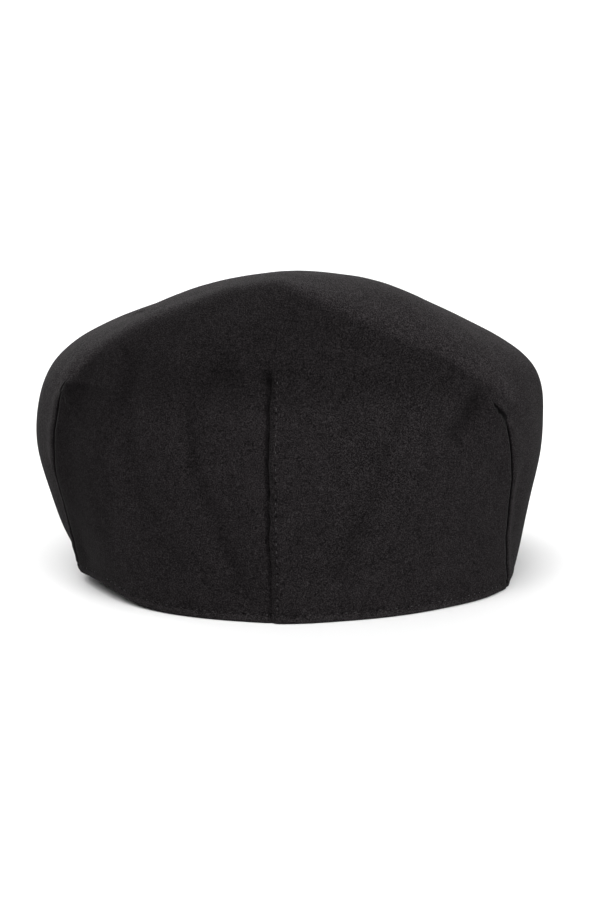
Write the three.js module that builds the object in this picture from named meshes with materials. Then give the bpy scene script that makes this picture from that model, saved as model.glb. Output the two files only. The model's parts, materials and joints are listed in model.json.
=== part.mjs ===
// A duckbill cap in black cloth: a one-piece crown sewn to shape with three darts at the back, a stiff
// curved peak under the crown's front, and a sweatband inside the head opening.
// Millimetres, +Z up, the peak towards +Y. The cap stands on its hem and on the sides of its peak at Z = 0,
// with the origin on the floor under the middle of its bounding box. Every angle is in degrees round the
// hem from the back, positive to the right.
import * as THREE from "three";

// Head opening, measured outside the hem, which lifts a little at the left dart
const hemWidth = 164;
const hemLength = 202;
const hemLift = 3.9;
const hemLiftSpread = 26;

// Crown
const crownHeight = 121.8;
const crownWall = 2;
const crownCentre = 10;
const columnStep = 4.2;

// Darts, sewn from the hem upwards
const dartAngle = 72;
const dartLean = 10;
const grooveDepth = 1.1;
const grooveHalfWidth = 1.3;
const pinchDepth = 1;
const pinchHalfWidth = 9;
const lapRise = 0.8;
const lapWidth = 10;

// Soft folds in the crown's cloth
const foldWidth = 13;
const foldDepth = 2.4;

// Peak. peakShowingAt and peakThicknessAt are how far along it from a tip those sizes are full, 1 being the
// middle of the front.
const peakReach = 54;
const peakShowing = 13;
const peakShowingAt = 0.9;
const peakThickness = 3.2;
const peakThicknessAt = 0.25;
const peakTipThickness = 1.2;
const peakTipWidth = 2.4;
const peakStart = 118;
const peakFullness = 1.4;
const peakArch = 18;
const peakDip = 11.5;

// Sweatband, which starts to rise over the peak's root at bandRise
const bandHeight = 30;
const bandWall = 1.2;
const bandLift = 1;
const bandRise = 90;

// Clearance between sewn pieces
const seamGap = 0.3;

const halfWidth = hemWidth / 2;
const halfLength = hemLength / 2;
const radians = THREE.MathUtils.degToRad;
const degrees = THREE.MathUtils.radToDeg;
const smooth = THREE.MathUtils.smoothstep;
const mix = THREE.MathUtils.lerp;

// The crown's profile at stations round the hem. The belly is its widest point: bellyOut is how far that lies
// outside the hem, as a share of hemWidth. The bend into the top and the crest follow above it: bendAt and
// crestAt are shares of the way from the crown's centre to the belly. All heights are shares of crownHeight.
const stations = [
  { angle: -165, bellyOut: 0.014, bellyUp: 0.2, bendAt: 0.87, bendUp: 0.4, crestAt: 0.51, crestUp: 0.725 },
  { angle: -150, bellyOut: 0.044, bellyUp: 0.23, bendAt: 0.89, bendUp: 0.45, crestAt: 0.52, crestUp: 0.74 },
  { angle: -135, bellyOut: 0.068, bellyUp: 0.28, bendAt: 0.91, bendUp: 0.52, crestAt: 0.53, crestUp: 0.77 },
  { angle: -118, bellyOut: 0.096, bellyUp: 0.35, bendAt: 0.92, bendUp: 0.6, crestAt: 0.53, crestUp: 0.805 },
  { angle: -92, bellyOut: 0.104, bellyUp: 0.42, bendAt: 0.915, bendUp: 0.67, crestAt: 0.52, crestUp: 0.845 },
  { angle: -73, bellyOut: 0.1, bellyUp: 0.45, bendAt: 0.925, bendUp: 0.69, crestAt: 0.545, crestUp: 0.855 },
  { angle: -40, bellyOut: 0.07, bellyUp: 0.46, bendAt: 0.91, bendUp: 0.765, crestAt: 0.585, crestUp: 0.915 },
  { angle: 0, bellyOut: 0.052, bellyUp: 0.46, bendAt: 0.892, bendUp: 0.83, crestAt: 0.594, crestUp: 0.97 },
  { angle: 40, bellyOut: 0.06, bellyUp: 0.46, bendAt: 0.905, bendUp: 0.77, crestAt: 0.585, crestUp: 0.938 },
  { angle: 73, bellyOut: 0.062, bellyUp: 0.45, bendAt: 0.937, bendUp: 0.69, crestAt: 0.558, crestUp: 0.868 },
  { angle: 92, bellyOut: 0.064, bellyUp: 0.42, bendAt: 0.95, bendUp: 0.658, crestAt: 0.533, crestUp: 0.834 },
  { angle: 118, bellyOut: 0.075, bellyUp: 0.35, bendAt: 0.94, bendUp: 0.6, crestAt: 0.53, crestUp: 0.8 },
  { angle: 135, bellyOut: 0.052, bellyUp: 0.28, bendAt: 0.92, bendUp: 0.52, crestAt: 0.53, crestUp: 0.77 },
  { angle: 150, bellyOut: 0.036, bellyUp: 0.23, bendAt: 0.89, bendUp: 0.45, crestAt: 0.52, crestUp: 0.74 },
  { angle: 165, bellyOut: 0.012, bellyUp: 0.2, bendAt: 0.87, bendUp: 0.4, crestAt: 0.51, crestUp: 0.725 },
  { angle: 180, bellyOut: 0.002, bellyUp: 0.19, bendAt: 0.86, bendUp: 0.385, crestAt: 0.5, crestUp: 0.72 },
];
const centreUp = 0.92;

// The levels where each profile is cut: 0 is the hem, 1 the belly, 2 the bend, 3 the crest, 4 the centre.
const outsideLevels = [
  0, 0.03, 0.08, 0.18, 0.32, 0.46, 0.6, 0.74, 0.88, 1.02, 1.16, 1.3, 1.44, 1.58, 1.72, 1.86, 2, 2.15, 2.3,
  2.45, 2.6, 2.75, 2.9, 3.05, 3.2, 3.35, 3.5, 3.65, 3.8,
];
const insideLevels = [0, 0.08, 0.32, 0.6, 0.88, 1.16, 1.44, 1.72, 2, 2.3, 2.6, 2.9, 3.2, 3.5, 3.8];
const profileSpans = 5;

// The darts. lean is how far each one moves round the crown on its way up, as a share of dartLean, and top
// the level where it ends. pinch is its share of pinchDepth, and lap its share of lapRise, over its allowance.
const darts = [
  { angle: -dartAngle, lean: 1.1, top: 1.7, pinch: 1, lap: 0 },
  { angle: 0, lean: 0, top: 1.7, pinch: 0.5, lap: 1 },
  { angle: dartAngle, lean: -0.87, top: 1.5, pinch: 1, lap: 0 },
];
const leanLevel = 0.9;
const dartFade = 0.35;

// The folds, each through a few points of an angle and a level. width is a share of foldWidth and depth a
// share of foldDepth, below 0 where the cloth stands up in a ridge.
const folds = [
  {
    through: [
      [-60, 1.75], [-38, 2.4], [-19, 2.72], [-2, 2.85], [16, 2.44], [34, 2.14], [46, 1.98], [59, 1.63],
    ],
    width: 0.8,
    depth: -0.5,
  },
  { through: [[-48, 1.7], [-28, 2.15], [-8, 2.35]], width: 1.1, depth: 0.45 },
  { through: [[8, 2.2], [26, 1.8], [47, 1.45]], width: 1.1, depth: 0.5 },
  { through: [[-18, 1.4], [-13, 0.8], [-4.4, 0.16]], width: 0.55, depth: 0.4 },
  { through: [[25, 1.25], [20.6, 0.81], [13.6, 0.41]], width: 0.6, depth: 0.35 },
  { through: [[-35, 1.62], [-27, 0.55]], width: 0.8, depth: 0.35 },
  { through: [[46.7, 1.36], [55.6, 1.63]], width: 0.45, depth: 0.4 },
];

// The value of one column of the stations at an angle, on a smooth closed curve through the table.
function atStation(column, angle) {
  const count = stations.length;
  const wrapped = signed(angle);
  const before = stations.findLastIndex((row) => row.angle <= wrapped);
  const start = before < 0 ? count - 1 : before;
  const row = (step) => stations[(start + step + count) % count];
  const value = (step) => row(step)[column];
  const place = (step) => row(step).angle + 360 * Math.floor((start + step) / count);
  const slope = (step) => (value(step + 1) - value(step - 1)) / (place(step + 1) - place(step - 1));
  const span = place(1) - place(0);
  const share = THREE.MathUtils.euclideanModulo(wrapped - place(0), 360) / span;
  const squared = share * share;
  const cubed = squared * share;
  return (
    value(0) * (2 * cubed - 3 * squared + 1) +
    value(1) * (3 * squared - 2 * cubed) +
    slope(0) * span * (cubed - 2 * squared + share) +
    slope(1) * span * (cubed - squared)
  );
}

// An angle in degrees from the back, wrapped to lie between -180 and 180, and its size alone.
function signed(angle) {
  return THREE.MathUtils.euclideanModulo(angle + 180, 360) - 180;
}

function fromBack(angle) {
  return Math.abs(signed(angle));
}

// The hem's oval in plan, moved along its outward normal.
function oval(angle, outwards) {
  const turn = radians(angle);
  const point = new THREE.Vector2(halfWidth * Math.sin(turn), -halfLength * Math.cos(turn));
  const normal = new THREE.Vector2(Math.sin(turn) / halfWidth, -Math.cos(turn) / halfLength).normalize();
  return point.addScaledVector(normal, outwards);
}

// How far along the peak an angle is: 0 at its tips and 1 at the middle of the front.
function alongPeak(angle) {
  return THREE.MathUtils.clamp((fromBack(angle) - peakStart) / (180 - peakStart), 0, 1);
}

// The peak's width from its root, its thickness, and the width that shows in front of the crown.
function peakWidth(angle) {
  return mix(peakTipWidth, peakReach, Math.sin((alongPeak(angle) * Math.PI) / 2) ** peakFullness);
}

function thicknessAt(angle) {
  return mix(peakTipThickness, peakThickness, smooth(alongPeak(angle), 0, peakThicknessAt));
}

function showingAt(angle) {
  return mix(peakTipWidth - crownWall, peakShowing, smooth(alongPeak(angle), 0, peakShowingAt));
}

// The peak's root runs round the sweatband, in line with the crown's inner face at the hem.
function peakRoot(angle) {
  return oval(angle, -crownWall);
}

// The height of the peak's underside: arched from side to side, and dipping towards its front edge.
const peakTip = peakRoot(peakStart);
function archedHeight(x, y) {
  const forwards = Math.max(0, y - peakTip.y) / (halfLength + peakReach - peakTip.y);
  return peakArch * (1 - (x / peakTip.x) ** 2) - peakDip * forwards ** 3;
}

function spread(from, to, step) {
  const count = Math.ceil((to - from) / step);
  return Array.from({ length: count - 1 }, (_, i) => mix(from, to, (i + 1) / count));
}

// The crown's columns, as angles at the hem: close together at each dart, and evenly spread between them.
// acrossDart holds the places of a dart's own columns, in half widths of its groove.
const grooveAngle = degrees(grooveHalfWidth / halfWidth);
const acrossDart = [-2.6, -1, 0, 1, 2.6];
function crownColumns() {
  const angles = darts.flatMap((dart, i) => {
    const next = i + 1 < darts.length ? darts[i + 1].angle : darts[0].angle + 360;
    const sewn = acrossDart.map((share) => dart.angle + share * grooveAngle);
    return [...sewn, ...spread(sewn.at(-1), next + acrossDart[0] * grooveAngle, columnStep)];
  });
  return angles.map(signed).sort((a, b) => a - b);
}
const columns = crownColumns();
const peakColumns = columns
  .filter((angle) => Math.abs(angle) > peakStart)
  .map((angle) => (angle < 0 ? angle + 360 : angle))
  .sort((a, b) => a - b);

// One section across the peak, over its own arch: the flat underside, the round edge and the top.
const acrossPeak = [0, 1 / 6, 1 / 3, 1 / 2, 2 / 3, 5 / 6, 1];
const roundEdge = [-60, -25, 25, 60];
function peakSection(angle) {
  const width = peakWidth(angle) - crownWall;
  const thickness = thicknessAt(angle);
  const radius = thickness / 2;
  const place = (outwards, up) => {
    const plan = oval(angle, outwards);
    return new THREE.Vector3(plan.x, plan.y, archedHeight(plan.x, plan.y) + up);
  };
  const stops = acrossPeak.map((share) => mix(-crownWall, width - radius, share));
  const under = stops.map((outwards) => place(outwards, 0));
  const edge = roundEdge.map((turn) => {
    const tilt = radians(turn);
    return place(width - radius + radius * Math.cos(tilt), radius + radius * Math.sin(tilt));
  });
  const over = stops.reverse().map((outwards) => place(outwards, thickness));
  return [...under, ...edge, ...over];
}

// The peak comes down to the floor where it is lowest.
const peakSections = peakColumns.map(peakSection);
const peakFoot = Math.min(...peakSections.flat().map((point) => point.z));
function underPeak(plan) {
  return archedHeight(plan.x, plan.y) - peakFoot;
}

// The crown's hem: on the oval at the back and sides, lifted a little at the left dart, and on the peak's top
// at the front. It climbs onto the peak over the last few columns before the peak's tip.
const climbStart = peakStart - 3 * columnStep;
const climbEnd = peakStart - columnStep / 2;
function hemOutwards(angle) {
  return Math.max(0, peakWidth(angle) - crownWall - showingAt(angle));
}

function hemPoint(angle, inwards) {
  const plan = oval(angle, hemOutwards(angle) - inwards);
  const onPeak = Math.max(0, underPeak(plan)) + thicknessAt(angle) + seamGap;
  const lifted = hemLift * Math.exp(-(((signed(angle) + dartAngle) / hemLiftSpread) ** 2));
  const ontoPeak = smooth(fromBack(angle), climbStart, climbEnd);
  return new THREE.Vector3(plan.x, plan.y, mix(lifted, onPeak, ontoPeak));
}

// The points of one profile: hem, belly, bend, crest, and the crown's centre, which all profiles share.
const centre = new THREE.Vector3(0, crownCentre, centreUp * crownHeight);
function bellyPoint(angle) {
  const plan = oval(angle, hemOutwards(angle) + atStation("bellyOut", angle) * hemWidth);
  return new THREE.Vector3(plan.x, plan.y, atStation("bellyUp", angle) * crownHeight);
}

function towardsBelly(angle, share, up) {
  const belly = bellyPoint(angle);
  return new THREE.Vector3(mix(centre.x, belly.x, share), mix(centre.y, belly.y, share), up * crownHeight);
}

function crestPoint(angle) {
  return towardsBelly(angle, atStation("crestAt", angle), atStation("crestUp", angle));
}

function profile(angle) {
  const bend = towardsBelly(angle, atStation("bendAt", angle), atStation("bendUp", angle));
  const points = [hemPoint(angle, 0), bellyPoint(angle), bend, crestPoint(angle), centre];
  return new THREE.CatmullRomCurve3([...points, crestPoint(angle + 180)]);
}

// The columns lean round the crown with the darts as they rise, and stand straight from the peak forwards.
const leaning = [{ angle: -peakStart, lean: 0 }, ...darts, { angle: peakStart, lean: 0 }];
function leant(column, level) {
  const next = leaning.findIndex((line) => column < line.angle);
  if (next < 1) return column;
  const [from, to] = [leaning[next - 1], leaning[next]];
  const share = (column - from.angle) / (to.angle - from.angle);
  return column + mix(from.lean, to.lean, share) * dartLean * smooth(level, 0, leanLevel);
}

// The crown's smooth outside, before folds and darts, and its outward normal there.
function surface(column, level) {
  return profile(leant(column, level)).getPoint(level / profileSpans);
}

const nearby = 0.02;
function normalAt(column, level) {
  const across = surface(column + nearby, level).sub(surface(column - nearby, level));
  const upwards = surface(column, level + nearby).sub(surface(column, Math.max(0, level - nearby)));
  return across.cross(upwards).normalize();
}

// The chart lays the crown out flat, to measure how far a place is from a fold. One level is about levelShare
// of the crown's height.
const levelShare = 0.42;
const levelHeight = levelShare * crownHeight;
function chart([angle, level]) {
  return new THREE.Vector3(radians(angle) * halfWidth, level * levelHeight, 0);
}

function distanceTo(through, here) {
  const points = through.map(chart);
  const distances = points.slice(1).map((end, i) => {
    const nearest = new THREE.Line3(points[i], end).closestPointToPoint(here, true, new THREE.Vector3());
    return nearest.distanceTo(here);
  });
  return Math.min(...distances);
}

// How deep the folds press the cloth in. They start just over the hem, and fade out between two levels near
// the crown's centre.
const foldsStart = 0.2;
const foldsFade = [3, 4];
function foldedIn(column, level) {
  const here = chart([leant(column, level), level]);
  const depths = folds.map((fold) => {
    const away = distanceTo(fold.through, here) / (fold.width * foldWidth);
    return fold.depth * foldDepth * Math.exp(-(away ** 2));
  });
  const all = depths.reduce((sum, depth) => sum + depth, 0);
  return all * smooth(level, 0, foldsStart) * (1 - smooth(level, ...foldsFade));
}

// How far a dart moves the outside of the cloth: in along its groove, and out over its lap.
function dartedIn(column, level) {
  const depths = darts.map((dart) => {
    const sewn = 1 - smooth(level, dart.top - dartFade, dart.top);
    const away = radians(column - dart.angle) * halfWidth;
    const groove = grooveDepth * Math.max(0, 1 - Math.abs(away) / grooveHalfWidth);
    const pinch = dart.pinch * pinchDepth * Math.exp(-((away / pinchHalfWidth) ** 2));
    const onLap = away > 0 && away < lapWidth;
    const lap = onLap ? dart.lap * lapRise * (1 - (away / lapWidth) ** 2) : 0;
    return sewn * (groove + pinch - lap);
  });
  return depths.reduce((sum, depth) => sum + depth, 0);
}

// A closed solid through loops of points: neighbouring loops are joined, and the ends are closed over
// their cap points, or joined to each other where there are none.
function throughLoops(loops, caps) {
  const points = loops.flat();
  const size = loops[0].length;
  const faces = [];
  const joined = caps ? loops.length - 1 : loops.length;
  for (let i = 0; i < joined; i++) {
    const here = i * size;
    const next = ((i + 1) % loops.length) * size;
    for (let j = 0; j < size; j++) {
      const k = (j + 1) % size;
      faces.push(here + j, next + k, here + k, here + j, next + j, next + k);
    }
  }
  if (caps) {
    const first = points.length;
    const last = (loops.length - 1) * size;
    points.push(...caps);
    for (let j = 0; j < size; j++) {
      const k = (j + 1) % size;
      faces.push(first, j, k, first + 1, last + k, last + j);
    }
  }
  return new THREE.BufferGeometry().setFromPoints(points).setIndex(faces);
}

// The crown's cloth: its outside with the folds and darts, and its inside one wall further in.
function crownGeometry() {
  const outside = outsideLevels.map((level) =>
    columns.map((column) => {
      const inwards = foldedIn(column, level) + dartedIn(column, level);
      const normal = normalAt(column, level);
      if (level === 0) normal.setZ(0);
      return surface(column, level).addScaledVector(normal, -inwards);
    }),
  );
  const inside = insideLevels.map((level) =>
    columns.map((column) => {
      if (level === 0) return hemPoint(column, crownWall);
      const inwards = foldedIn(column, level) + crownWall;
      return surface(column, level).addScaledVector(normalAt(column, level), -inwards);
    }),
  );
  const inner = centre.clone().setZ(centre.z - crownWall);
  return throughLoops([...outside.reverse(), ...inside], [centre, inner]);
}

// The peak: a thin arched crescent, through its sections from one tip to the other.
function peakGeometry() {
  const total = (loop) => loop.reduce((sum, point) => sum.add(point), new THREE.Vector3());
  const middle = (loop) => total(loop).divideScalar(loop.length);
  const tips = [middle(peakSections[0]), middle(peakSections.at(-1))];
  return throughLoops(peakSections, tips).translate(0, 0, -peakFoot);
}

// The sweatband: a plain upright band inside the hem, which rises over the peak's root at the front.
function bandGeometry() {
  const loop = (inwards, up) =>
    columns.map((angle) => {
      const plan = oval(angle, -crownWall - seamGap - inwards);
      const root = underPeak(peakRoot(angle));
      const foot = Math.max(0, root) * smooth(fromBack(angle), bandRise, peakStart);
      return new THREE.Vector3(plan.x, plan.y, bandLift + foot + up);
    });
  return throughLoops([loop(0, bandHeight), loop(0, 0), loop(bandWall, 0), loop(bandWall, bandHeight)]);
}

function piece(name, geometry, material) {
  const mesh = new THREE.Mesh(geometry, material);
  mesh.name = name;
  mesh.geometry.computeVertexNormals();
  return mesh;
}

const crownCloth = new THREE.MeshStandardMaterial({ color: 0x262425, roughness: 0.95, metalness: 0 });
const peakCloth = new THREE.MeshStandardMaterial({ color: 0x242223, roughness: 0.95, metalness: 0 });
const bandCloth = new THREE.MeshStandardMaterial({ color: 0x1c1b1c, roughness: 0.8, metalness: 0 });

const cap = new THREE.Group();
cap.add(piece("crown", crownGeometry(), crownCloth));
cap.add(piece("peak", peakGeometry(), peakCloth));
cap.add(piece("sweatband", bandGeometry(), bandCloth));

// Stand the cap over the origin.
const box = new THREE.Box3().setFromObject(cap);
const middle = box.getCenter(new THREE.Vector3());
cap.position.set(-middle.x, -middle.y, -box.min.z);

export default cap;
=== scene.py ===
import json
import math
import random
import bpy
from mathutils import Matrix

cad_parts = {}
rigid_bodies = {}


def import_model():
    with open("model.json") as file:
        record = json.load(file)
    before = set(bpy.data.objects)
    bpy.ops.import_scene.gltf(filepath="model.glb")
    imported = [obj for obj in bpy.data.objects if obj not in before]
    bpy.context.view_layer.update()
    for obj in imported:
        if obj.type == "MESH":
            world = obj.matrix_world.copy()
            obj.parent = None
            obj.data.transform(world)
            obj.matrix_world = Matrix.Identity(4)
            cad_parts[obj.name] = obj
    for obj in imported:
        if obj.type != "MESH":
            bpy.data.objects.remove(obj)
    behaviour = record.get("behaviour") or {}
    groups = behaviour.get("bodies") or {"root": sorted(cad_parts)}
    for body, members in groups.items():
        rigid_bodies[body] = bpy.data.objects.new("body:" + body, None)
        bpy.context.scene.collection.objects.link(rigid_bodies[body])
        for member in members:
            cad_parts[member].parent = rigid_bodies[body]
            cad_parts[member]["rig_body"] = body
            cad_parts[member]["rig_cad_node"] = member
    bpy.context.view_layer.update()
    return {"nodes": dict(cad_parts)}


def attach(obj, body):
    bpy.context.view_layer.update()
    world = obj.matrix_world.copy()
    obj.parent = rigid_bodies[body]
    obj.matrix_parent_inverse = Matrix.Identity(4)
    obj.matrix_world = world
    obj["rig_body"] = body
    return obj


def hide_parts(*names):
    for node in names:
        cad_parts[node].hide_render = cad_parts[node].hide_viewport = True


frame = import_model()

from types import SimpleNamespace

import bmesh
import bpy
from mathutils import Matrix, Vector, kdtree, noise
from mathutils.bvhtree import BVHTree

# A black cloth duckbill cap, dressed over its CAD solids and seen from behind.
# Everything is in metres. The back of the cap faces -Y and its peak +Y.
mm = 0.001
upwards = Vector((0, 0, 1))

view = {
    "azimuth": 5.27,  # degrees round from straight behind
    "elevation": 8.73,
    "distance": 1.3,
    "target": (0.00286, -0.01138, 0.0449),
    "lens": 135.6,
}

turn, rise = math.radians(view["azimuth"]), math.radians(view["elevation"])
away = Vector((math.sin(turn) * math.cos(rise), -math.cos(turn) * math.cos(rise), math.sin(rise)))
bpy.ops.object.camera_add(location=Vector(view["target"]) + away * view["distance"])
camera = bpy.context.object
camera.rotation_euler = away.to_track_quat("Z", "Y").to_euler()
camera.data.lens = view["lens"]
bpy.context.scene.camera = camera
print("camera placed")


# Helpers for shapes

def onlySelect(piece):
    bpy.ops.object.select_all(action="DESELECT")
    piece.select_set(True)
    bpy.context.view_layer.objects.active = piece


mergeDistance = 0.001 * mm
quadAngle = math.radians(80)
quadRegularity = 1.2


def copyOfNode(nodeName, pieceName):  # a merged copy of a CAD node, in quads
    onlySelect(frame["nodes"][nodeName])
    bpy.ops.object.duplicate()
    bpy.ops.object.parent_clear(type="CLEAR")
    piece = bpy.context.object
    piece.name = piece.data.name = pieceName
    del piece["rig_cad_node"], piece["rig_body"]
    piece.data.materials.clear()
    bpy.ops.mesh.customdata_custom_splitnormals_clear()
    bpy.ops.object.mode_set(mode="EDIT")
    bpy.ops.mesh.select_all(action="SELECT")
    bpy.ops.mesh.remove_doubles(threshold=mergeDistance)
    bpy.ops.mesh.tris_convert_to_quads(
        face_threshold=quadAngle, shape_threshold=quadAngle, topology_influence=quadRegularity)
    bpy.ops.mesh.select_all(action="DESELECT")
    bpy.ops.object.mode_set(mode="OBJECT")
    return piece


def subdivide(piece, levels):
    onlySelect(piece)
    modifier = piece.modifiers.new("subdivision", "SUBSURF")
    modifier.levels = modifier.render_levels = levels
    bpy.ops.object.modifier_apply(modifier=modifier.name)
    bpy.ops.object.shade_smooth()


def evenly(points, step, closed=False):  # points at an even step along a line
    corners = points + points[:1] if closed else points
    made, rest = [corners[0].copy()], step
    for start, end in zip(corners, corners[1:]):
        length = (end - start).length
        while rest <= length:
            made.append(start.lerp(end, rest / length))
            rest += step
        rest -= length
    return made


def rounded(points, reach):  # an even line with its turns smoothed over this reach
    span = round(reach / (points[1] - points[0]).length)
    made = []
    for index, point in enumerate(points):
        near = min(span, index, len(points) - 1 - index)
        some = points[index - near:index + near + 1]
        made.append(sum(some, Vector()) / len(some))
    return made


def treeOf(points):
    tree = kdtree.KDTree(len(points))
    for index, point in enumerate(points):
        tree.insert(point, index)
    tree.balance()
    return tree


def surfaceOf(piece):
    corners = [v.co for v in piece.data.vertices]
    return BVHTree.FromPolygons(corners, [list(p.vertices) for p in piece.data.polygons])


def bell(distance, width):
    return math.exp(-((distance / width) ** 2))


def eased(value, low, high):  # 0 below low, 1 above high, smooth between
    share = min(1, max(0, (value - low) / (high - low)))
    return share * share * (3 - 2 * share)


# Helpers for materials

def newMaterial(name):
    material = bpy.data.materials.new(name)
    material.use_nodes = True
    nodes, links = material.node_tree.nodes, material.node_tree.links
    coordinates = nodes.new("ShaderNodeTexCoord").outputs["Object"]
    return material, nodes, links, nodes["Principled BSDF"], coordinates


def noiseNode(nodes, links, coordinates, size, detail=3.0, roughness=0.6):
    made = nodes.new("ShaderNodeTexNoise")
    made.inputs["Scale"].default_value = 1 / size
    made.inputs["Detail"].default_value = detail
    made.inputs["Roughness"].default_value = roughness
    links.new(coordinates, made.inputs["Vector"])
    return made.outputs["Fac"]


def ramp(nodes, links, value, stops):
    made = nodes.new("ShaderNodeValToRGB")
    stops = list(stops)
    elements = made.color_ramp.elements
    while len(elements) < len(stops):
        elements.new(0.5)
    for element, (place, color) in zip(elements, stops):
        element.position = place
        element.color = color
    links.new(value, made.inputs["Fac"])
    return made.outputs["Color"]


def blendOf(nodes, links, share, first, second):  # one value between two others
    made = nodes.new("ShaderNodeMix")
    made.inputs[0].default_value = share
    links.new(first, made.inputs[2])
    links.new(second, made.inputs[3])
    return made.outputs[0]


def bumped(nodes, links, shader, height, depth):
    bump = nodes.new("ShaderNodeBump")
    bump.inputs["Distance"].default_value = depth
    links.new(height, bump.inputs["Height"])
    links.new(bump.outputs["Normal"], shader.inputs["Normal"])


def worked(nodes, links, operation, *values):  # arithmetic on sockets and plain numbers
    made = nodes.new("ShaderNodeMath")
    made.operation = operation
    for socket, value in zip(made.inputs, values):
        if isinstance(value, (int, float)):
            socket.default_value = value
        else:
            links.new(value, socket)
    return made.outputs[0]


def faded(nodes, links, value, low, high):  # 1 below low, 0 above high, smooth between
    made = nodes.new("ShaderNodeMapRange")
    made.interpolation_type = "SMOOTHSTEP"
    for name, number in {"From Min": low, "From Max": high, "To Min": 1, "To Max": 0}.items():
        made.inputs[name].default_value = number
    links.new(value, made.inputs["Value"])
    return made.outputs["Result"]


def painted(nodes, links, name):  # the three numbers that the piece's points hold under this name
    held = nodes.new("ShaderNodeAttribute")
    held.attribute_name = name
    split = nodes.new("ShaderNodeSeparateXYZ")
    links.new(held.outputs["Vector"], split.inputs["Vector"])
    return split.outputs[0], split.outputs[1], split.outputs[2]


# Black brushed wool: a felted nap of fine hairs, softly mottled

napLook = {
    "dark": (0.0024, 0.0021, 0.0022, 1),
    "middle": (0.0094, 0.0084, 0.0088, 1),
    "light": (0.0235, 0.0210, 0.0219, 1),
    "stops": (0.38, 0.5, 0.64),  # where the grain is dark, middling and light
    "brushed": (1, 0.4, 1),  # the nap is brushed towards the back, so its grain is longer along Y
    "grainSize": 0.41 * mm,
    "fleckSize": 1.2 * mm,
    "fleckShare": 0.12,
    "mottleSize": 6 * mm,
    "mottleShare": 0.08,
    "bumpDepth": 0.35,  # in millimetres
    "roughness": 0.95,
    "specular": 0.02,
    "sheen": 0.0175,
    "sheenRoughness": 0.45,
    "sheenTint": (1.0, 0.95, 0.96, 1),
}

# Where the cloth is sewn: sizes in millimetres across each line, and how dark the painted shade lies there
seamLook = {
    "grooveEdge": (0.1, 0.7),  # on the groove's right, where its lap ends
    "grooveShade": (0.2, 2.1),  # on its left
    "groovePaintedShade": 0.7,
    "grooveBump": 0.5,  # in millimetres
    "holeSize": (0.15, 0.65),
    "holePaintedShade": 0.9,
    "holeBump": 0.3,
}


def napMaterial(name, look, seams=None):
    material, nodes, links, shader, coordinates = newMaterial(name)
    brushed = nodes.new("ShaderNodeMapping")
    brushed.inputs["Scale"].default_value = look["brushed"]
    links.new(coordinates, brushed.inputs["Vector"])
    alongNap = brushed.outputs["Vector"]
    grain = noiseNode(nodes, links, alongNap, look["grainSize"], detail=2)
    flecks = noiseNode(nodes, links, alongNap, look["fleckSize"], detail=1, roughness=0.5)
    mottle = noiseNode(nodes, links, coordinates, look["mottleSize"], detail=2, roughness=0.5)
    nap = blendOf(nodes, links, look["fleckShare"], grain, flecks)
    both = blendOf(nodes, links, look["mottleShare"], nap, mottle)
    color = ramp(nodes, links, both, zip(look["stops"], (look["dark"], look["middle"], look["light"])))
    height = worked(nodes, links, "MULTIPLY", nap, look["bumpDepth"])
    if seams:
        # the crown's points hold each seam's distance, its painted shade, and the painted light and shade on
        # the cloth
        aside, sewn, tone = painted(nodes, links, "seamLine")
        groove = faded(nodes, links, aside, *seams["grooveEdge"])
        shade = faded(nodes, links, worked(nodes, links, "MULTIPLY", aside, -1), *seams["grooveShade"])
        groove = worked(nodes, links, "MULTIPLY", groove, worked(nodes, links, "MULTIPLY", shade, sewn))
        count, across, pitch = painted(nodes, links, "stitchLine")  # count is in stitches along the seam
        fromHole = worked(nodes, links, "SUBTRACT", worked(nodes, links, "FRACT", count), 0.5)
        fromHole = worked(nodes, links, "MULTIPLY", fromHole, pitch)
        squared = worked(nodes, links, "MULTIPLY", fromHole, fromHole)
        squared = worked(nodes, links, "MULTIPLY_ADD", across, across, squared)
        hole = faded(nodes, links, worked(nodes, links, "SQRT", squared), *seams["holeSize"])
        uneven = nodes.new("ShaderNodeTexWhiteNoise")
        uneven.noise_dimensions = "1D"
        links.new(worked(nodes, links, "FLOOR", count), uneven.inputs["W"])
        hole = worked(nodes, links, "MULTIPLY", hole, uneven.outputs["Value"])
        # painted shade in the grooves and needle holes, and the points' painted light and shade, scale the
        # colour
        dark = worked(nodes, links, "MULTIPLY", groove, seams["groovePaintedShade"])
        dark = worked(nodes, links, "MULTIPLY_ADD", hole, seams["holePaintedShade"], dark)
        lit = worked(nodes, links, "SUBTRACT", 1, dark)
        lit = worked(nodes, links, "MAXIMUM", worked(nodes, links, "MULTIPLY", lit, tone), 0)
        toned = nodes.new("ShaderNodeVectorMath")
        toned.operation = "SCALE"
        links.new(color, toned.inputs[0])
        links.new(lit, toned.inputs["Scale"])
        color = toned.outputs[0]
        height = worked(nodes, links, "MULTIPLY_ADD", groove, -seams["grooveBump"], height)
        height = worked(nodes, links, "MULTIPLY_ADD", hole, -seams["holeBump"], height)
    links.new(color, shader.inputs["Base Color"])
    bumped(nodes, links, shader, height, mm)  # its height is in millimetres
    shader.inputs["Roughness"].default_value = look["roughness"]
    shader.inputs["Specular IOR Level"].default_value = look["specular"]
    shader.inputs["Sheen Weight"].default_value = look["sheen"]
    shader.inputs["Sheen Roughness"].default_value = look["sheenRoughness"]
    shader.inputs["Sheen Tint"].default_value = look["sheenTint"]
    return material


# Black sewing thread, a little glossier than the cloth

threadLook = {
    "dark": (0.006, 0.0055, 0.0058, 1),
    "light": (0.034, 0.032, 0.033, 1),
    "fibreSize": 0.25 * mm,
    "bumpDepth": 0.03 * mm,
    "roughness": 0.55,
    "specular": 0.2,
}


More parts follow.
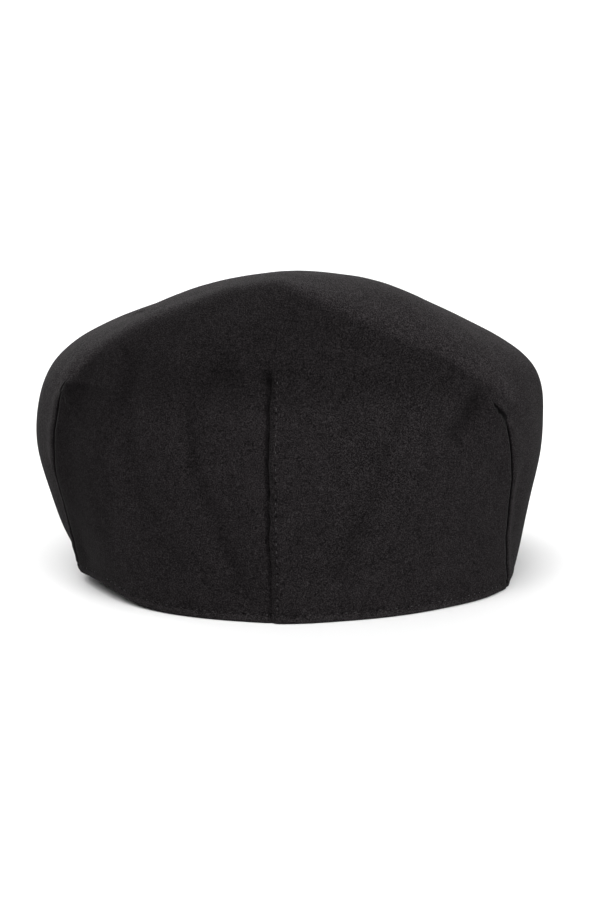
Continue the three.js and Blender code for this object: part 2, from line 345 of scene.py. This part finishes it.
def threadMaterial(name, look):
    material, nodes, links, shader, coordinates = newMaterial(name)
    fibres = noiseNode(nodes, links, coordinates, look["fibreSize"])
    color = ramp(nodes, links, fibres, [(0.35, look["dark"]), (0.65, look["light"])])
    links.new(color, shader.inputs["Base Color"])
    bumped(nodes, links, shader, fibres, look["bumpDepth"])
    shader.inputs["Roughness"].default_value = look["roughness"]
    shader.inputs["Specular IOR Level"].default_value = look["specular"]
    return material


# The sweatband's twill: fine slanting ribs

twillLook = {
    "dark": (0.006, 0.0058, 0.006, 1),
    "light": (0.016, 0.0152, 0.016, 1),
    "ribScale": 0.3 / (1.1 * mm),
    "ribWaver": 0.6,
    "fibreSize": 0.3 * mm,
    "fibreShare": 0.4,
    "bumpDepth": 0.1 * mm,
    "roughness": 0.6,
    "sheen": 0.1,
}


def twillMaterial(name, look):
    material, nodes, links, shader, coordinates = newMaterial(name)
    ribs = nodes.new("ShaderNodeTexWave")
    ribs.bands_direction = "DIAGONAL"
    ribs.inputs["Scale"].default_value = look["ribScale"]
    ribs.inputs["Distortion"].default_value = look["ribWaver"]
    links.new(coordinates, ribs.inputs["Vector"])
    fibres = noiseNode(nodes, links, coordinates, look["fibreSize"])
    both = blendOf(nodes, links, look["fibreShare"], ribs.outputs["Fac"], fibres)
    color = ramp(nodes, links, both, [(0.2, look["dark"]), (0.8, look["light"])])
    links.new(color, shader.inputs["Base Color"])
    bumped(nodes, links, shader, both, look["bumpDepth"])
    shader.inputs["Roughness"].default_value = look["roughness"]
    shader.inputs["Sheen Weight"].default_value = look["sheen"]
    return material


crownNap = napMaterial("black brushed wool, sewn", napLook, seamLook)
peakNap = napMaterial("black brushed wool", napLook)
thread = threadMaterial("black sewing thread", threadLook)
twill = twillMaterial("black twill", twillLook)
print("materials made")


# Topstitching: the stitches lie on the cloth, and its needle holes follow them, pressed in and darkened with
# painted shade

stitchLook = {
    "length": 1.9 * mm,
    "width": 0.42 * mm,
    "height": 0.32 * mm,
    "hemPitch": 3.3 * mm,
    "hemUp": 3.2 * mm,
    "dartPitch": 3.0 * mm,
    "dartAside": 2.1 * mm,
    "sunk": 0.08 * mm,
    "sunkSpread": (0.4, 2),
    "reach": 5 * mm,  # how far to either side of the lap's stitches its own count holds
    "slant": 0.06,  # how far stitches turn off their line at random, in radians
}


# Crown: a soft shell sewn to shape with three darts

crownLook = {
    "centre": Vector((3.26, -11.38, 0)) * mm,
    "ringsRenewed": {"outside": 4, "inside": 2},  # replaced by a grid over the crown's centre
    "gridSpan": 24,
    "subdivisions": 2,
    "levelEdge": (1 * mm, 8 * mm),  # how far from the hem the cloth is pushed level, and then outwards
    "heldEdge": (1 * mm, 14 * mm),  # how far from the hem waves and creases are held back
    "back": (50 * mm, 70 * mm),  # how far behind the middle the crown's back starts
    "waveHeight": 0.35 * mm,
    "waveLength": 32 * mm,
    "rippleShare": 0.4,  # smaller waves on the broad ones
    "rippleLength": 0.37,  # as a share of waveLength
    "hemChannelDepth": 0.25 * mm,
    "hemChannelWidth": 0.8 * mm,
    # painted shade in the stitches' channel
    "hemChannelPaintedShade": 0.1,
    # painted light on the turned-up hem band
    "hemBandPaintedLight": 1.42,
    "hemBandEdge": (2 * mm, 3.4 * mm),
    "hemLift": 2.2 * mm,  # the hem stands a little off the floor by the left dart
    "hemLiftAt": Vector((-64, -84, 0)) * mm,
    "hemLiftWidth": 20 * mm,
    "ridge": [  # x and z where the back turns over into the top, in millimetres
        (-90, 70), (-79, 77), (-62, 94), (-41, 104), (-16, 115), (1, 117.6), (22, 110), (46, 99), (62, 92),
        (80, 78), (90, 70)],
    "ridgeWidth": (-1.5, 2.5),
    "upperStart": (73, 84),  # how high the painted shade on the slope under the ridge starts, in millimetres
    "topSlope": (0.3, 0.8),  # how level the cloth must lie to be painted lighter, where the front and sides turn into the top
    "topPaintedLight": 1.4,  # painted light: the cloth is painted lighter over the ridge than on the slope below it, as light falls there
    # painted shade on the slope under the ridge
    "upperPaintedShade": 0.75,
    "swells": {  # where the cloth stands out or sags a little: place, width and height, in millimetres
        "low on the left side": ((-82, -46, 20), 14, 1.6),
        "right of the top": ((20, -62, 117), 28, -0.9),
        "right corner of the hem": ((78, -72, 4), 18, 1.8),
        "middle of the hem": ((10, -121, 3), 14, 2.5),
        "right shoulder": ((89, -25, 74), 11, 1.1),
        "right side": ((91, -20, 32), 16, -0.9),
        "left slope": ((-55, -40, 101), 16, -0.8),
    },
}

# The darts: how their lines run, how the cloth lies along them, and how dark the painted shade along them is
dartLook = {
    "tops": {  # where each dart's sewing ends, in millimetres
        "left": (-77.3, -78.5, 78.4),
        "middle": (3.4, -125.3, 88.5),
        "right": (79.1, -80.7, 73.0),
    },
    "bend": 5 * mm,  # how far along its line a dart's turns are rounded
    "reach": 40 * mm,  # how far from its line a dart moves the cloth
    "wallReach": (3 * mm, 10 * mm),  # the cloth isn't pushed sideways within this, into the groove's walls
    "topFade": 3 * mm,  # the groove and its dark end within this over the top
    "seamReach": 12 * mm,
    "groove": (0.4 * mm, 0.55 * mm),  # depth and width
    "pucker": (0.16 * mm, 6 * mm),  # height and width
    "puckerLength": 4.5 * mm,
    "puckerRow": {"left": 4, "middle": 6, "right": 5},  # each dart has its own random puckers
    "noiseRows": {"pucker": 7.3, "shade": 3.1, "wander": 5.7},
    "dimples": {"left": 0.2 * mm, "middle": 1.1 * mm, "right": 0.45 * mm},  # how far each top is drawn in
    "dimpleWidth": 3 * mm,
    "lap": (0.45 * mm, 9 * mm),  # height and width
    "lapShade": 0.4,  # how far the middle dart's shade moves to its left, under the lap, in millimetres
    "shade": (0.85, 0.6, 8 * mm),  # how dark the middle dart's painted shade is, by how much and how far along that varies
    "shadeLow": (0.5, 10, 55),  # how dark its painted shade is low down, and the heights between which that changes
    "wander": (0.8 * mm, 5 * mm),  # how far its line strays to either side, and how wide the cloth follows
    "wanderLength": 7 * mm,
    "sway": {  # how far the side darts bow to the right, at these heights, in millimetres
        "left": [(0, -1), (6, -1), (11, 3.5), (20, 6.5), (35, 4), (46, 0.5), (61, 2), (75, 5), (79, 2.5)],
        "right": [
            (0, 4), (5, 3), (11, 0.5), (22, -1.5), (34, -0.5), (45, 1), (53, 0), (60, -1.5), (66, -3),
            (70, -0.5)],
    },
    "swayWidth": 20 * mm,
    # how dark the painted shade along a side dart's groove is
    "sidePaintedShade": 1.5,
    "sideNarrow": {"inner": 1.1, "outer": 0.45},  # how fast the painted shade ends on either side of a side dart
    "topNarrow": (1.6, 6 * mm),  # how much faster at its top, and how far down from there
    "cornerHeight": {"left": 2.4 * mm, "right": 1.6 * mm},
    "cornerWidth": 9 * mm,
    "cornerEdge": 0.5 * mm,
    # painted shade on the back beside each side dart, where it turns into the side: its width and how dark
    "cornerShade": {"left": 36 * mm, "right": 20 * mm},
    "cornerPaintedShade": {"left": 0.5, "right": 0.15},
}

# Soft creases at the back: x and z along each one in millimetres, its width, its depth, how dark its painted
# shade lies (below zero, painted light) and what is left of it at its lower end
creases = {
    "left of the middle": {
        "through": [(-26, 75), (-24, 53), (-16, 36), (-4, 7)],
        "width": 2.8, "depth": 0.9, "dark": 0.24, "left": 0.9},
    "right of the middle": {
        "through": [(47, 71), (40, 50), (31, 28), (27, 18)],
        "width": 3, "depth": 0.7, "dark": 0.19, "left": 1},
    "far left": {
        "through": [(-48, 90), (-50, 72), (-48, 55), (-42, 42), (-33, 20)],
        "width": 4.5, "depth": 0.8, "dark": 0.17, "left": 0.8},
    "by the right top": {
        "through": [(74, 76), (66, 65)],
        "width": 3, "depth": 0.9, "dark": 0.5, "left": 0.6},
    "over the left": {
        "through": [(-11, 88), (-18, 87)],
        "width": 4, "depth": 0.5, "dark": 0.2, "left": 1},
    "at the middle top": {
        "through": [(1, 89.5), (2, 86)],
        "width": 1.7, "depth": 0.2, "dark": 0.38, "left": 1},
    "by the left top": {
        "through": [(-66, 88), (-69, 81)],
        "width": 3, "depth": 0.4, "dark": 0.2, "left": 1},
    "under the ridge": {
        "through": [(-2, 113), (-14, 105), (-30, 93)],
        "width": 5, "depth": -0.3, "dark": -0.13, "left": 0.6},
}
creaseLines = {name: [Vector(point) for point in crease["through"]] for name, crease in creases.items()}
centre = crownLook["centre"]


def outwardsAt(place):  # level, away from the crown's centre
    return (place - centre).to_2d().normalized().to_3d()


def renewCentre(piece, height, rings, above):  # a grid of quads in place of the fan round a pole
    fan = surfaceOf(piece)
    onlySelect(piece)
    bpy.ops.object.mode_set(mode="EDIT")
    bpy.ops.mesh.select_mode(type="VERT")
    bpy.ops.mesh.select_all(action="DESELECT")
    pole = Vector((centre.x, centre.y, height))
    shape = bmesh.from_edit_mesh(piece.data)
    min(shape.verts, key=lambda v: (v.co - pole).length).select = True
    shape.select_flush(True)
    for _ in range(rings):
        bpy.ops.mesh.select_more()
    bpy.ops.mesh.delete(type="VERT")
    bpy.ops.mesh.select_non_manifold()
    shape = bmesh.from_edit_mesh(piece.data)
    rim = [edge for edge in shape.edges if edge.select]
    if len(rim) % 2:  # a grid needs an even number of edges round it
        bpy.ops.mesh.select_all(action="DESELECT")
        max(rim, key=lambda edge: edge.verts[0].co.y).select = True
        bpy.ops.mesh.subdivide(number_cuts=1, ngon=True)
        bpy.ops.mesh.select_non_manifold()
    bpy.ops.mesh.fill_grid(span=crownLook["gridSpan"])
    shape = bmesh.from_edit_mesh(piece.data)
    startHeight = height + 100 * mm if above else 20 * mm
    for vert in shape.verts:
        if vert.select and not vert.is_boundary:
            start = Vector((vert.co.x, vert.co.y, startHeight))
            vert.co.z = fan.ray_cast(start, -upwards if above else upwards)[0].z
    bpy.ops.mesh.select_all(action="DESELECT")
    bpy.ops.object.mode_set(mode="OBJECT")


grooveTurn = math.radians(-28)  # a groove's bottom is folded in by more than this
grooveSteepness = 0.5
middleReach = 40 * mm  # the middle dart lies within this of the centre
hemTurn = 0.6  # the hem's outer edge lies between a face that looks down and one that looks outwards


def grooveLines(piece):  # the bottom of each dart's groove, from the hem upwards
    shape = bmesh.new()
    shape.from_mesh(piece.data)
    found = {"left": [], "middle": [], "right": []}
    for edge in shape.edges:
        first, second = edge.verts
        steep = abs(first.co.z - second.co.z) > grooveSteepness * edge.calc_length()
        if steep and edge.is_manifold and edge.calc_face_angle_signed() < grooveTurn:
            across = first.co.x - centre.x
            name = "left" if across < -middleReach else "right" if across > middleReach else "middle"
            found[name] += [first.co.copy(), second.co.copy()]
    shape.free()
    for name, points in found.items():
        points.sort(key=lambda p: p.z)
        found[name] = [p for i, p in enumerate(points) if i == 0 or (p - points[i - 1]).length > mm / 10]
    return found


def hemLine(piece):  # the outer edge of the hem, once round
    shape = bmesh.new()
    shape.from_mesh(piece.data)
    found = set()
    for edge in shape.edges:
        outwards = outwardsAt((edge.verts[0].co + edge.verts[1].co) / 2)
        turned = sorted(edge.link_faces, key=lambda face: face.normal.z)
        if turned[0].normal.z < -hemTurn and turned[-1].normal.dot(outwards) > hemTurn:
            found.update(edge.verts)
    line = [vert.co.copy() for vert in found]
    shape.free()
    return sorted(line, key=lambda p: math.atan2(p.y - centre.y, p.x - centre.x))


def reachingTops(lines, cloth):  # each dart's line led on over the cloth to where its sewing ends
    for name, points in lines.items():
        top = Vector(dartLook["tops"][name]) * mm
        for share in (0.25, 0.5, 0.75, 1):
            points.append(cloth.find_nearest(points[-1].lerp(top, share))[0])
    return lines


crown = copyOfNode("crown", "crown_shell")
grooves = reachingTops(grooveLines(crown), surfaceOf(crown))
hem = hemLine(crown)
poleHeights = {v.co.z for v in crown.data.vertices if (v.co.xy - centre.xy).length < mm}
renewCentre(crown, max(poleHeights), crownLook["ringsRenewed"]["outside"], above=True)
renewCentre(crown, min(poleHeights), crownLook["ringsRenewed"]["inside"], above=False)
subdivide(crown, crownLook["subdivisions"])
crown.data.materials.append(crownNap)

fineStep = 0.4 * mm
hemFine = evenly(hem, fineStep, closed=True)
hemTree = treeOf(hemFine)
dartLines = {name: rounded(evenly(points, fineStep), dartLook["bend"]) for name, points in grooves.items()}
dartTrees = {name: treeOf(points) for name, points in dartLines.items()}


def valueOn(line, x):  # the value of a line of points over x
    for (startX, start), (endX, end) in zip(line, line[1:]):
        if x <= endX:
            return start + (end - start) * (x - startX) / (endX - startX)
    return line[-1][1]


def lifted(place):  # how far the hem stands off the floor here, beyond the CAD's own lift
    return crownLook["hemLift"] * bell((place - crownLook["hemLiftAt"]).length, crownLook["hemLiftWidth"])


def awayFrom(line, place):  # how far a place lies from a line of points
    nearest = []
    for start, end in zip(line, line[1:]):
        step = end - start
        share = min(1, max(0, (place - start).dot(step) / step.length_squared))
        nearest.append((place - start - step * share).length)
    return min(nearest)


def along(fine, index, place):  # how far along a fine line a place lies
    step = fine[min(index + 1, len(fine) - 1)] - fine[max(index - 1, 0)]
    return index * fineStep + (place - fine[index]).dot(step.normalized())


bottomTurn = -0.7  # the hem's bottom faces down at least this much
bottomReach = 3 * mm


def outerFace(piece):  # the vertices of the outer face, down to the hem's bottom
    shape = bmesh.new()
    shape.from_mesh(piece.data)
    start = max(shape.verts, key=lambda v: v.co.z)
    found, waiting = {start.index}, [start]
    while waiting:
        vert = waiting.pop()
        for edge in vert.link_edges:
            other = edge.other_vert(vert)
            atBottom = other.normal.z < bottomTurn and hemTree.find(other.co)[2] < bottomReach
            if other.index not in found and not atBottom:
                found.add(other.index)
                waiting.append(other)
    shape.free()
    return found


farOff = 50  # in millimetres, for what lies away from any seam


def clothAt(place, normal, outside):  # what is known of the cloth at one vertex, before it is worked
    look = crownLook
    index, fromHem = hemTree.find(place)[1:]
    outwards = outwardsAt(place)
    waves = noise.noise(place / look["waveLength"])
    waves += look["rippleShare"] * noise.noise(place / (look["rippleLength"] * look["waveLength"]))
    free = eased(fromHem, *look["heldEdge"])
    pushed = eased(fromHem, *look["levelEdge"])
    count = along(hemFine, index, place) / stitchLook["hemPitch"]
    return SimpleNamespace(
        place=place, outside=outside, fromHem=fromHem, free=free,
        behind=eased(-place.y, *look["back"]),
        right=upwards.cross(outwards),
        out=outwards.lerp(normal if outside else -normal, pushed).normalized(),
        moved=free * look["waveHeight"] * waves, swayed=Vector(),
        tone=1, seamAside=farOff, seamPaintedShade=0,
        stitch=(count, (fromHem - stitchLook["hemUp"]) / mm, stitchLook["hemPitch"] / mm))


def workHem(here):  # its stitches press a channel darkened with painted shade, and its turned-up band is painted lighter as light falls on it
    look = crownLook
    channel = bell(here.fromHem - stitchLook["hemUp"], look["hemChannelWidth"])
    onBand = 1 - eased(here.fromHem, *look["hemBandEdge"])
    here.moved -= look["hemChannelDepth"] * channel
    here.tone += (look["hemBandPaintedLight"] - 1) * onBand - look["hemChannelPaintedShade"] * channel


def paintSlopeLighting(here):  # painted light over the ridge, and painted shade on the slope under it
    look = crownLook
    aboveRidge = here.place.z / mm - valueOn(look["ridge"], here.place.x / mm)
    over = here.behind * eased(aboveRidge, *look["ridgeWidth"])
    over += (1 - here.behind) * eased(here.out.z, *look["topSlope"])
    under = here.behind * eased(here.place.z / mm, *look["upperStart"]) * (1 - over)
    here.tone += (look["topPaintedLight"] - 1) * over + (look["upperPaintedShade"] - 1) * under


def workCreases(here):  # each crease presses the cloth in and paints shade into it, less so at its lower end
    seen = Vector((here.place.x, here.place.z)) / mm
    for name, crease in creases.items():
        line = creaseLines[name]
        share = here.behind * here.free * bell(awayFrom(line, seen), crease["width"])
        share *= crease["left"] + (1 - crease["left"]) * eased(seen.y, line[-1].y, line[0].y)
        here.moved -= crease["depth"] * mm * share
        here.tone -= crease["dark"] * share


def wavering(length, use, row=0):  # smooth noise along a dart's line, its own for each use
    return noise.noise(Vector((length, dartLook["noiseRows"][use], row)))


def middleSeam(here, aside, length, sewing):  # how dark the middle dart's painted shade is here, and how far from that shade
    look = dartLook
    dark, varied, variedLength = look["shade"]
    low, lowStart, lowEnd = look["shadeLow"]
    wander, wanderWidth = look["wander"]
    strayed = wander * wavering(length / look["wanderLength"], "wander")
    here.swayed += here.right * strayed * bell(aside, wanderWidth)
    sewing *= dark + varied * wavering(length / variedLength, "shade")
    sewing *= low + (1 - low) * eased(here.place.z / mm, lowStart, lowEnd)
    return sewing, aside / mm + look["lapShade"]


def sideSeam(here, name, near, aside, inner, sewing):  # the same for a side dart, where the back has a corner
    look = dartLook
    narrow, narrowLength = look["topNarrow"]
    sway = valueOn(look["sway"][name], near.z / mm) * mm
    here.swayed += here.right * sway * bell(aside, look["swayWidth"])
    here.moved += sewing * look["cornerHeight"][name] * bell(aside, look["cornerWidth"])
    across = -inner / mm * look["sideNarrow"]["inner" if inner > 0 else "outer"]
    across *= 1 + narrow * bell((near - dartLines[name][-1]).length, narrowLength)
    return sewing * look["sidePaintedShade"], across


def workSeam(here, name, index, aside, sewing):  # the groove, its puckers, and the dimple at its top
    look = dartLook
    depth, width = look["groove"]
    height, puckerWidth = look["pucker"]
    puckers = wavering(index * fineStep / look["puckerLength"], "pucker", look["puckerRow"][name])
    groove = depth * bell(aside, width)
    here.moved += sewing * (height * puckers * bell(aside, puckerWidth) - groove)
    here.moved -= look["dimples"][name] * bell((here.place - dartLines[name][-1]).length, look["dimpleWidth"])


def workLap(here, index, aside, sewing):  # the middle dart's lap, and the stitches that hold it
    height, width = dartLook["lap"]
    if aside > 0:
        here.moved += sewing * height * (1 - eased(aside, 0, width))
    across = aside - stitchLook["dartAside"]
    overHem = here.fromHem > stitchLook["hemUp"] + abs(across)
    if abs(across) < stitchLook["reach"] and sewing > 0 and overHem:
        count = along(dartLines["middle"], index, here.place) / stitchLook["dartPitch"]
        here.stitch = (count, across / mm, stitchLook["dartPitch"] / mm)


def workDart(here, name):  # the cloth by one dart
    near, index, distance = dartTrees[name].find(here.place)
    if distance > dartLook["reach"]:
        return
    aside = (here.place - near).dot(here.right)
    inner = aside if name == "left" else -aside
    level = 1 - eased(abs(aside), *dartLook["wallReach"])
    here.out -= here.right * here.out.dot(here.right) * level
    here.out.normalize()
    sewing = 1 - eased(here.place.z - near.z, 0, dartLook["topFade"])
    if name == "middle":
        dark, across = middleSeam(here, aside, index * fineStep, sewing)
    else:
        dark, across = sideSeam(here, name, near, aside, inner, sewing)
    if abs(aside) < dartLook["seamReach"]:
        here.seamAside, here.seamPaintedShade = across, dark
    if here.outside:
        workSeam(here, name, index, aside, sewing)
        if name == "middle":
            workLap(here, index, aside, sewing)
        else:
            edge = dartLook["cornerEdge"]
            # painted shade on the back beside the side dart's corner
            shaded = eased(inner, -edge, edge) * bell(inner, dartLook["cornerShade"][name])
            here.tone -= dartLook["cornerPaintedShade"][name] * shaded * sewing


def sculptedCrown(piece):  # folds, darts and hem pressed into the cloth by moving its vertices
    starts = [(vert.co.copy(), vert.normal.copy()) for vert in piece.data.vertices]
    outer = outerFace(piece)
    seamLine, stitchLine = [], []
    for vert, (place, normal) in zip(piece.data.vertices, starts):
        here = clothAt(place, normal, vert.index in outer)
        if here.outside:
            workHem(here)
            paintSlopeLighting(here)
        if here.outside and here.behind > 0:
            workCreases(here)
        for name in dartTrees:
            workDart(here, name)
        for at, width, height in crownLook["swells"].values():
            here.moved += height * mm * bell((place / mm - Vector(at)).length, width)
        vert.co = place + here.out * here.moved + here.swayed + upwards * lifted(place)
        # seamLine holds each point's distance from a seam, that seam's painted shade, and the painted light
        # and shade on the cloth
        seamLine += (here.seamAside, here.seamPaintedShade, here.tone)
        stitchLine += here.stitch if here.outside else (0, farOff, 1)
    for name, values in {"seamLine": seamLine, "stitchLine": stitchLine}.items():
        held = piece.data.attributes.new(name, "FLOAT_VECTOR", "POINT")
        held.data.foreach_set("vector", values)
    piece.data.update()


sculptedCrown(crown)
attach(crown, "root")
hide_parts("crown")
print("crown made:", len(crown.data.polygons), "faces")


# Peak: a stiff crescent covered in the same cloth, under the crown's front

peakLook = {"subdivisions": 2}
peak = copyOfNode("peak", "peak_cover")
subdivide(peak, peakLook["subdivisions"])
peak.data.materials.append(peakNap)
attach(peak, "root")
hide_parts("peak")
print("peak made:", len(peak.data.polygons), "faces")


# Sweatband: a plain twill band inside the head opening

bandLook = {
    "subdivisions": 2,
    "height": 30 * mm,
    "followsHem": (20 * mm, 40 * mm),  # how far behind the middle its lower edge starts to follow the hem
}
band = copyOfNode("sweatband", "sweatband_strip")
subdivide(band, bandLook["subdivisions"])
for vert in band.data.vertices:
    hemPoint = hemTree.find(vert.co)[0]
    raised = (hemPoint.z + lifted(hemPoint)) * eased(-vert.co.y, *bandLook["followsHem"])
    vert.co.z += raised * (1 - vert.co.z / bandLook["height"])
band.data.materials.append(twill)
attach(band, "root")
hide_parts("sweatband")
print("sweatband made:", len(band.data.polygons), "faces")


# One stitch is modelled and copied along the hem and the middle dart

def oneStitch():  # a capsule that arches between its two needle holes, along X
    look = stitchLook
    halfSize = (look["length"] / 2, look["width"] / 2, look["height"] / 2)
    bpy.ops.object.select_all(action="DESELECT")
    bpy.ops.mesh.primitive_uv_sphere_add(segments=8, ring_count=5, radius=1)
    stitch = bpy.context.object
    bpy.ops.object.mode_set(mode="EDIT")
    bpy.ops.mesh.select_all(action="SELECT")
    bpy.ops.transform.rotate(value=math.pi / 2, orient_axis="Y", center_override=(0, 0, 0))
    bpy.ops.transform.resize(value=halfSize, center_override=(0, 0, 0))
    bpy.ops.object.mode_set(mode="OBJECT")
    for vert in stitch.data.vertices:
        share = abs(vert.co.x) / (look["length"] / 2)
        vert.co.z -= look["height"] * share ** 3
    return stitch


def sewRow(places, name):  # stitches at these places, each a point, the way ahead and a normal
    pattern = oneStitch()
    copies = []
    random.seed(len(places))
    for place, ahead, normal in places:
        copy = pattern.copy()
        copy.data = pattern.data.copy()
        bpy.context.collection.objects.link(copy)
        across = normal.cross(ahead).normalized()
        level = ahead.normalized()
        up = level.cross(across)
        turned = Matrix((level, across, up)).transposed().to_4x4()
        turned = turned @ Matrix.Rotation(random.gauss(0, stitchLook["slant"]), 4, "Z")
        sunk = stitchLook["sunk"] * random.uniform(*stitchLook["sunkSpread"])
        copy.data.transform(Matrix.Translation(place - up * sunk) @ turned)
        copies.append(copy)
    bpy.data.objects.remove(pattern)
    bpy.ops.object.select_all(action="DESELECT")
    for copy in copies:
        copy.select_set(True)
    bpy.context.view_layer.objects.active = copies[0]
    bpy.ops.object.join()
    row = bpy.context.object
    row.name = row.data.name = name
    bpy.ops.object.shade_smooth()
    row.data.materials.append(thread)
    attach(row, "root")
    print(name, "sewn:", len(copies), "stitches")


castFrom = 30 * mm
castReach = 8 * mm


def onCloth(tree, line, upBy, asideBy):  # where a seam's line meets the cloth, moved up and to the right
    found = []
    for start in line:
        here = start + upwards * (upBy + lifted(start))
        outwards = outwardsAt(here)
        here += upwards.cross(outwards) * asideBy
        hit, normal, _, _ = tree.ray_cast(here + outwards * castFrom, -outwards)
        if hit and (hit - here).length < castReach:
            found.append((hit, normal))
    return found


def seamPlaces(hits, closed=False):
    places = []
    for index, (hit, normal) in enumerate(hits):
        before = hits[index - 1][0] if index or closed else hit
        after = hits[(index + 1) % len(hits)][0] if index + 1 < len(hits) or closed else hit
        places.append((hit, after - before, normal))
    return places


cloth = surfaceOf(crown)
hemHits = onCloth(cloth, evenly(hem, stitchLook["hemPitch"], closed=True), stitchLook["hemUp"], 0)
sewRow(seamPlaces(hemHits, closed=True), "stitches_hem")
dartHits = onCloth(cloth, evenly(grooves["middle"], stitchLook["dartPitch"])[1:], 0, stitchLook["dartAside"])
sewRow(seamPlaces(dartHits), "stitches_middle_dart")


# Studio: a white sweep and soft light from all round

studioLook = {
    "sweepSize": 60.0,
    "sweepTone": (0.9, 0.9, 0.9, 1),
    "sweepRoughness": 0.9,
    "sweepSpecular": 0.1,
    "surroundings": 0.02,
    "backdrop": 1.2,  # what the camera sees past the sweep
    "softness": 50,  # degrees across each light
    "lights": {  # degrees round from the cap's back, degrees up, and strength
        "high front": (0, 45, 3.35),
        "low right": (60, 15, 2.3),
        "low behind": (180, 15, 1.5),
        "left behind": (210, 25, 2.0),
        "above": (0, 88, 0.4),
        "high left": (300, 45, 0.2),
    },
}

bpy.ops.object.select_all(action="DESELECT")
bpy.ops.mesh.primitive_plane_add(size=studioLook["sweepSize"], location=(0, 0, 0))
sweep = bpy.context.object
sweep.name = "sweep"
sweepPaint, _, _, sweepShader, _ = newMaterial("white sweep")
sweepShader.inputs["Base Color"].default_value = studioLook["sweepTone"]
sweepShader.inputs["Roughness"].default_value = studioLook["sweepRoughness"]
sweepShader.inputs["Specular IOR Level"].default_value = studioLook["sweepSpecular"]
sweep.data.materials.append(sweepPaint)

world = bpy.data.worlds.new("white surroundings")
bpy.context.scene.world = world
world.use_nodes = True
worldNodes, worldLinks = world.node_tree.nodes, world.node_tree.links
surroundings = worldNodes["Background"]
surroundings.inputs["Color"].default_value = (1, 1, 1, 1)
surroundings.inputs["Strength"].default_value = studioLook["surroundings"]
backdrop = worldNodes.new("ShaderNodeBackground")
backdrop.inputs["Color"].default_value = (1, 1, 1, 1)
backdrop.inputs["Strength"].default_value = studioLook["backdrop"]
chosen = worldNodes.new("ShaderNodeMixShader")
worldLinks.new(worldNodes.new("ShaderNodeLightPath").outputs["Is Camera Ray"], chosen.inputs["Fac"])
worldLinks.new(surroundings.outputs["Background"], chosen.inputs[1])
worldLinks.new(backdrop.outputs["Background"], chosen.inputs[2])
worldLinks.new(chosen.outputs["Shader"], worldNodes["World Output"].inputs["Surface"])

for name, (around, up, strength) in studioLook["lights"].items():
    around, up = math.radians(around), math.radians(up)
    source = Vector((math.sin(around) * math.cos(up), -math.cos(around) * math.cos(up), math.sin(up)))
    bpy.ops.object.light_add(type="SUN", location=source * 2)
    light = bpy.context.object
    light.name = name + " light"
    light.data.angle = math.radians(studioLook["softness"])
    light.data.energy = strength
    light.rotation_euler = source.to_track_quat("Z", "Y").to_euler()

bpy.context.scene.view_settings.view_transform = "Standard"
print("studio lit")
